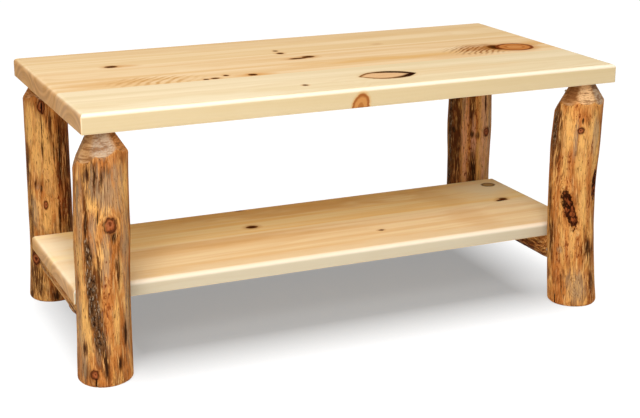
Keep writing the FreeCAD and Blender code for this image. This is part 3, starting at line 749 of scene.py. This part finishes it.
def plain_mesh(piece, name):
    """The mesh that a piece's modifiers give."""
    bpy.context.view_layer.update()
    mesh = bpy.data.meshes.new_from_object(piece.evaluated_get(bpy.context.evaluated_depsgraph_get()))
    mesh.name = name
    return mesh


def grow(name, tree, values):
    """A bare log from its rule, without the empty material slot that it starts with."""
    piece = placed(name + "_log", bpy.data.meshes.new(name))
    rule = piece.modifiers.new("log", "NODES")
    rule.node_group = tree
    for socket in tree.interface.items_tree:
        if socket.in_out == "INPUT":
            rule[socket.identifier] = values[socket.name]
    mesh = plain_mesh(piece, name)
    mesh.materials.pop(index=0)
    piece.modifiers.remove(rule)
    piece.data = mesh
    return piece


def grow_leg(name, log, tree, finish):
    values = {key: value * MM for key, value in LEG_INPUTS.items()}
    for key in ("Flare", "Swell", "Swell Height", "Bevel", "Bevel Skew"):
        values[key] = getattr(log, key.lower().replace(" ", "_")) * MM
    for key in ("Head", "Foot", "Bow"):
        x, y = getattr(log, key.lower())
        values[key] = (x * MM, y * MM, 0.0)
    values.update({"Radius": (LEG_RADIUS + log.girth) * MM, "Turn": math.radians(log.turn),
                   "Bevel Side": math.radians(log.bevel_side), "Seed": log.turn * LEG_SEED_STEP,
                   "Rows": LEG_ROWS, "Columns": LEG_COLUMNS, "Finish": finish,
                   "Axis": (log.side * LEG_X * MM, log.row * LEG_Y * MM, 0.0)})
    return grow(name, tree, values)


def log_core(log, height):
    """Where a leg's core lies at a height."""
    share = height / LEG_LENGTH
    sway = math.sin(math.pi * share)
    x, y = (foot * (1 - share) + head * share + bow * sway
            for foot, head, bow in zip(log.foot, log.head, log.bow))
    return Vector((log.side * LEG_X + x, log.row * LEG_Y + y, height))


def rail_shoulder(log):
    """Where along Y a rail's shoulder stops short of a leg."""
    angle = -log.row * math.pi / 2
    flare = log.flare * max(0.0, 1 - RAIL_Z / FLARE_HEIGHT) ** 2
    swell = log.swell * math.exp(-((RAIL_Z - log.swell_height) / SWELL_REACH) ** 2)
    turned = angle - math.radians(log.turn)
    section = LEG_OVAL * math.cos(2 * turned) + LEG_LOBE * math.cos(3 * turned)
    radius = LEG_RADIUS + log.girth + flare + swell + section
    return log_core(log, RAIL_Z).y - log.row * (radius + SHOULDER_GAP)


def grow_rail(name, side, tree, finish):
    shoulders = {log.row: rail_shoulder(log) for log in LOGS.values() if log.side == side}
    values = {key: value * MM for key, value in RAIL_INPUTS.items()}
    values.update({"Front": shoulders[-1] * MM, "Rear": shoulders[1] * MM, "X": side * LEG_X * MM,
                   "Z": RAIL_Z * MM, "Seed": RAIL_SEED + side * RAIL_SEED_STEP, "Rows": RAIL_ROWS,
                   "Columns": RAIL_COLUMNS, "Finish": finish})
    return grow(name, tree, values)


def read_points(mesh, name):
    values = np.zeros(len(mesh.vertices), np.float32)
    mesh.attributes[name].data.foreach_get("value", values)
    return values


def write_points(mesh, name, values):
    layer = mesh.attributes.get(name) or mesh.attributes.new(name, "FLOAT", "POINT")
    layer.data.foreach_set("value", np.ascontiguousarray(values, np.float32))


def smooth(low, high, values):
    share = np.clip((values - low) / (high - low), 0, 1)
    return share * share * (3 - 2 * share)


# Relief of the marks, in millimetres, and in half sizes how far a knot is felt
KNOT_FELT = 2.2
KNOT_COLLAR = 1.3
KNOT_DOME = 0.8
KNOT_DIP = 1.0
CRACK_DEPTH = 3.0
SCAR_DEPTH = 4.0
SCAR_LUMPS = 1.8
BARK_RISE = 0.6
# A point this near to an end's height is on the sawn end. One this far under the skin is hewn, if it is
# above the foot's easing. This near to the middle of the foot's end, the rings close to a point.
END_BAND = 0.4
HEWN_START = 2.6
HEWN_FULL = 3.6
FOOT_BAND = 30.0
END_CENTRE = 25.0


def mark_log(piece, marks, middle, across, radius):
    """Raises knots and bark, opens cracks and scars, and notes on the skin where every mark and the hewing
    lie and how the grain flows round them. The log's section lies in the axes across, about its middle."""
    mesh = piece.data
    angle, height, ring, skin = (read_points(mesh, name) for name in ("angle", "height", "ring", "skin"))
    height, ring, skin = height / MM, ring / MM, skin / MM
    points = np.zeros(len(mesh.vertices) * 3)
    mesh.vertices.foreach_get("co", points)
    points = points.reshape(-1, 3)
    side = (height > END_BAND) & (height < height.max() - END_BAND)
    rise = np.zeros(len(angle))
    flow = np.zeros(len(angle))
    hewn = smooth(HEWN_START, HEWN_FULL, skin - ring) * (height > FOOT_BAND)
    for kind in MARK_KINDS:
        found = np.zeros(len(angle))
        for mark in (Mark(*spot) for spot in marks.get(kind, ())):
            turn = (angle - math.radians(mark.angle) + math.pi) % (2 * math.pi) - math.pi
            up = height - mark.height
            beside = turn * radius - mark.lean * up
            away = np.hypot(beside / mark.wide, up / mark.tall)
            if kind == "knot":
                closeness = np.clip(1 - away / KNOT_FELT, 0, 1)
                rise += KNOT_COLLAR * np.exp(-((away - 1.05) / 0.35) ** 2)
                rise += KNOT_DOME * np.exp(-(away / 1.9) ** 2) - KNOT_DIP * np.exp(-(away / 0.4) ** 2)
            elif kind == "crack":
                closeness = 1 - smooth(0.5, 1.35, away)
                rise -= CRACK_DEPTH * (1 - smooth(0.4, 1.1, away))
            elif kind == "arch":
                closeness = np.clip(1 - away, 0, 1)
            else:
                closeness = np.exp(-0.9 * away ** 2)
                lumps = np.sin(turn * 19 + 0.04 * up) * np.sin(up * 0.42 + turn * 5)
                depth = {"scar": SCAR_DEPTH - SCAR_LUMPS * lumps, "bark": -BARK_RISE}.get(kind, 0.0)
                rise -= depth * (1 - smooth(0.4, 1.1, away))
            if kind in ("knot", "scar"):
                fade = np.exp(-(beside / (2.8 * mark.wide)) ** 2 - (up / (2.6 * mark.tall)) ** 2)
                flow += 0.7 * mark.wide * np.tanh(beside / mark.wide) * fade
            found = np.maximum(found, closeness)
        on_skin = kind not in [layer[0] for layer in HEWN_LAYERS]
        write_points(mesh, kind, found * (1 - hewn * on_skin))
    u, v = across
    grain = points.copy()
    turned = flow / radius
    off_u, off_v = points[:, u] - middle[u] * MM, points[:, v] - middle[v] * MM
    grain[:, u] = middle[u] * MM + off_u * np.cos(turned) + off_v * np.sin(turned)
    grain[:, v] = middle[v] * MM - off_u * np.sin(turned) + off_v * np.cos(turned)
    layer = mesh.attributes.new("grain", "FLOAT_VECTOR", "POINT")
    layer.data.foreach_set("vector", np.ascontiguousarray(grain.ravel(), np.float32))
    rise *= side * (1 - hewn)
    points[:, u] += np.cos(angle) * rise * MM
    points[:, v] += np.sin(angle) * rise * MM
    mesh.vertices.foreach_set("co", points.ravel())
    write_points(mesh, "hewn", np.maximum(hewn, ~side))
    centre = (np.hypot(points[:, u] / MM - middle[u], points[:, v] / MM - middle[v]) < END_CENTRE) & ~side
    write_points(mesh, "ring", np.where(centre & (height < END_BAND / 2), 0, ring))
    mesh.update()


# Bores, in millimetres: each is a little larger than what stands in it
Bore = namedtuple("Bore", "diameter start end")
UP = Vector((0, 0, 1))
DOWEL_BORE = 20.2
DOWEL_DEPTH = 45.4
TENON_ROOM = 0.3
TENON_END_ROOM = 0.4
NAIL_HEAD_BORE = 6.2
NAIL_HEAD_SEAT = 3.5
NAIL_BORE = 3.2
NAIL_PAST_TENON = 4.4
SHELF_SCREW_Y = (-128.8, -48.8, 48.8, 128.8)
SHELF_SCREW_SEAT = 87.0
SCREW_POCKET = 10.2
SCREW_BORE = 5.2
SCREW_RUN = 60.0
CLEAR_OUT = 5.0
BORE_SIDES = 40
SHARP_EDGE = math.radians(48)


def leg_bores(log):
    """The open holes in a leg: for its dowel, the rail's tenon and the nail. The slanting screws' pockets in
    the hewn flats are stopped and lacquered over."""
    head = log_core(log, LEG_LENGTH)
    yield Bore(DOWEL_BORE, head - UP * DOWEL_DEPTH, head + UP * CLEAR_OUT)
    in_y = Vector((0, -log.row, 0))
    in_x = Vector((-log.side, 0, 0))
    root = Vector((log.side * LEG_X, rail_shoulder(log), RAIL_Z))
    yield Bore(2 * TENON_RADIUS + TENON_ROOM, root + in_y * LEG_RADIUS,
               root - in_y * (TENON_LENGTH + TENON_END_ROOM))
    middle = root - in_y * TENON_LENGTH / 2
    core = log_core(log, RAIL_Z)
    reach = math.sqrt((LEG_RADIUS + log.girth) ** 2 - (middle.y - core.y) ** 2) + (core - middle).dot(in_x)
    seat = middle + in_x * (reach - NAIL_HEAD_SEAT)
    yield Bore(NAIL_HEAD_BORE, seat + in_x * LEG_RADIUS, seat)
    yield Bore(NAIL_BORE, seat + in_x, middle - in_x * (TENON_RADIUS + NAIL_PAST_TENON))


def rail_bores(side):
    """The holes in a rail: pockets and shanks of the screws up into the shelf."""
    for y in SHELF_SCREW_Y:
        seat = Vector((side * LEG_X, y, SHELF_SCREW_SEAT))
        yield Bore(SCREW_POCKET, seat - UP * 2 * RAIL_RADIUS, seat)
        yield Bore(SCREW_BORE, seat - UP, seat + UP * SCREW_RUN)


def drill(piece, bores):
    """Cuts the bores out of a piece."""
    mesh_name = piece.data.name
    drills = []
    for bore in bores:
        run = bore.end - bore.start
        shape = bmesh.new()
        turn = run.to_track_quat("Z", "Y").to_matrix().to_4x4()
        bmesh.ops.create_cone(shape, cap_ends=True, segments=BORE_SIDES, radius1=bore.diameter / 2 * MM,
                              radius2=bore.diameter / 2 * MM, depth=run.length * MM,
                              matrix=Matrix.Translation((bore.start + bore.end) / 2 * MM) @ turn)
        mesh = bpy.data.meshes.new("drill")
        shape.to_mesh(mesh)
        shape.free()
        drill_bit = placed("drill", mesh)
        drills.append(drill_bit)
        cut = piece.modifiers.new("bore", "BOOLEAN")
        cut.object = drill_bit
        cut.operation = "DIFFERENCE"
        cut.solver = "MANIFOLD"
    mesh = plain_mesh(piece, mesh_name)
    piece.modifiers.clear()
    piece.data = mesh
    for drill_bit in drills:
        bpy.data.objects.remove(drill_bit)
    mesh.set_sharp_from_angle(angle=SHARP_EDGE)


def finish_piece(piece, node):
    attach(piece, "root")
    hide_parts(node)


# Pieces
leg_finish = peeled_log_material("leg", "Z")
leg_rule = peeled_log_tree()
for name, log in LOGS.items():
    leg = grow_leg(name, log, leg_rule, leg_finish)
    mark_log(leg, log.marks, (log.side * LEG_X, log.row * LEG_Y, 0), (0, 1), LEG_RADIUS)
    drill(leg, leg_bores(log))
    finish_piece(leg, name)
rail_finish = peeled_log_material("rail", "Y")
rail_rule = rail_tree()
for name, (side, marks) in RAILS.items():
    rail = grow_rail(name, side, rail_rule, rail_finish)
    mark_log(rail, marks, (side * LEG_X, 0, RAIL_Z), (0, 2), RAIL_RADIUS)
    drill(rail, rail_bores(side))
    finish_piece(rail, name)

# Finishes of the pieces that keep their solids' shapes
finishes = {name: planed_pine(name, board) for name, board in BOARDS.items()}
finishes.update(dict.fromkeys(("leg_dowels", "top_dowels", "shelf_dowels"), turned_beech()))
finishes.update(dict.fromkeys(("toe_screws", "shelf_screws", "tenon_nails"), zinc_plate()))
for name, material in finishes.items():
    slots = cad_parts[name].data.materials
    slots.clear()
    slots.append(material)

# Floor: white studio paper, clear from below so that the underside shows. What the eye sees of it is greyer
# than what lights the table: it keeps the cast shadow, and its glow is dim in a box under the table, a
# painted shadow, and white round it.
WHITE = (1, 1, 1, 1)
SHADOW_HALF = (425, 150, 0)
SHADOW_RIM = 175
PAINTED_SHADOW_GLOW = 0.308
GLOW_ROUND = 0.95
FLOOR_HALF = 30.0

paper, node = new_material("white_studio_paper")
place = own_place(node)
mottle = node(NOISE, place, 0.003, 2.0, 0.5)
sheet = node("ShaderNodeBsdfDiffuse", node(MIX, mottle, "#F0F0F0", "#ECECEC", **COLOUR))
seen_sheet = node("ShaderNodeBsdfDiffuse", node(MIX, mottle, "#6C6C6C", "#6A6A6A", **COLOUR))
# The glow is least in the box under the table and rises to white past its rim: a painted shadow
past = node(VECTOR + MINUS, node(VECTOR + "ABSOLUTE", place), SHADOW_HALF)
outward = node(VECTOR + "LENGTH", node(VECTOR + "MAXIMUM", past, (0, 0, 0)))
glow_with_painted_shadow = node("ShaderNodeEmission", WHITE, node(RANGE, outward, 0, SHADOW_RIM, PAINTED_SHADOW_GLOW, GLOW_ROUND))
lit = node("ShaderNodeAddShader", seen_sheet, glow_with_painted_shadow)
above = node("ShaderNodeMixShader", seen_ray(node), sheet, lit)
below = node("ShaderNodeNewGeometry").node.outputs["Backfacing"]
clear = node("ShaderNodeBsdfTransparent")
node("ShaderNodeOutputMaterial", node("ShaderNodeMixShader", below, above, clear))
corners = [(x * FLOOR_HALF, y * FLOOR_HALF, 0) for x, y in ((-1, -1), (1, -1), (1, 1), (-1, 1))]
floor_mesh = bpy.data.meshes.new("studio_floor")
floor_mesh.from_pydata(corners, [], [(0, 1, 2, 3)])
floor_mesh.materials.append(paper)
floor = placed("studio_floor", floor_mesh)

# Light: an even white room, a soft overhead sun, and two broad softboxes in front, one high and one low
ROOM_FILL = 0.22
ROOM_SEEN = 1.0

scene = bpy.context.scene
scene.view_settings.view_transform = "Standard"
room = bpy.data.worlds.new("white_room")
room.use_nodes = True
room.node_tree.nodes.clear()
node = partial(add, room.node_tree)
fill = node("ShaderNodeBackground", WHITE, ROOM_FILL)
backdrop = node("ShaderNodeBackground", WHITE, ROOM_SEEN)
node("ShaderNodeOutputWorld", node("ShaderNodeMixShader", seen_ray(node), fill, backdrop))
scene.world = room


def lamp(name, kind, place, aim, **settings):
    light = bpy.data.lights.new(name, kind)
    for key, value in settings.items():
        setattr(light, key, value)
    holder = placed(name, light)
    holder.location = place
    holder.rotation_euler = (Vector(aim) - Vector(place)).to_track_quat("-Z", "Y").to_euler()
    holder.visible_camera = False


lamp("overhead_sun", "SUN", (-0.25, -0.8, 3.0), (0, 0, 0), energy=1.0, angle=math.radians(10))
lamp("front_softbox", "AREA", (-1.25, -2.7, 3.0), (0, 0, 0.3), energy=102, shape="RECTANGLE", size=1.8,
     size_y=1.3)
lamp("low_softbox", "AREA", (-2.0, -3.2, 1.6), (0, 0, 0.25), energy=44, shape="RECTANGLE", size=2.5,
     size_y=1.5)

# Camera: the photograph's viewing angle, its lens given in pixels of the picture's width
PICTURE_WIDTH = 640
LENS_PIXELS = 1388.7
SENSOR_WIDTH = 36
CAMERA_PLACE = (-1.12024, -2.60493, 1.0764)
CAMERA_DOWN = 17.18
CAMERA_RIGHT = 23.62

camera_data = bpy.data.cameras.new("camera")
camera_data.sensor_width = SENSOR_WIDTH
camera_data.lens = LENS_PIXELS * SENSOR_WIDTH / PICTURE_WIDTH
camera = placed("camera", camera_data)
camera.location = CAMERA_PLACE
camera.rotation_euler = (math.radians(90 - CAMERA_DOWN), 0, math.radians(-CAMERA_RIGHT))
scene.camera = camera
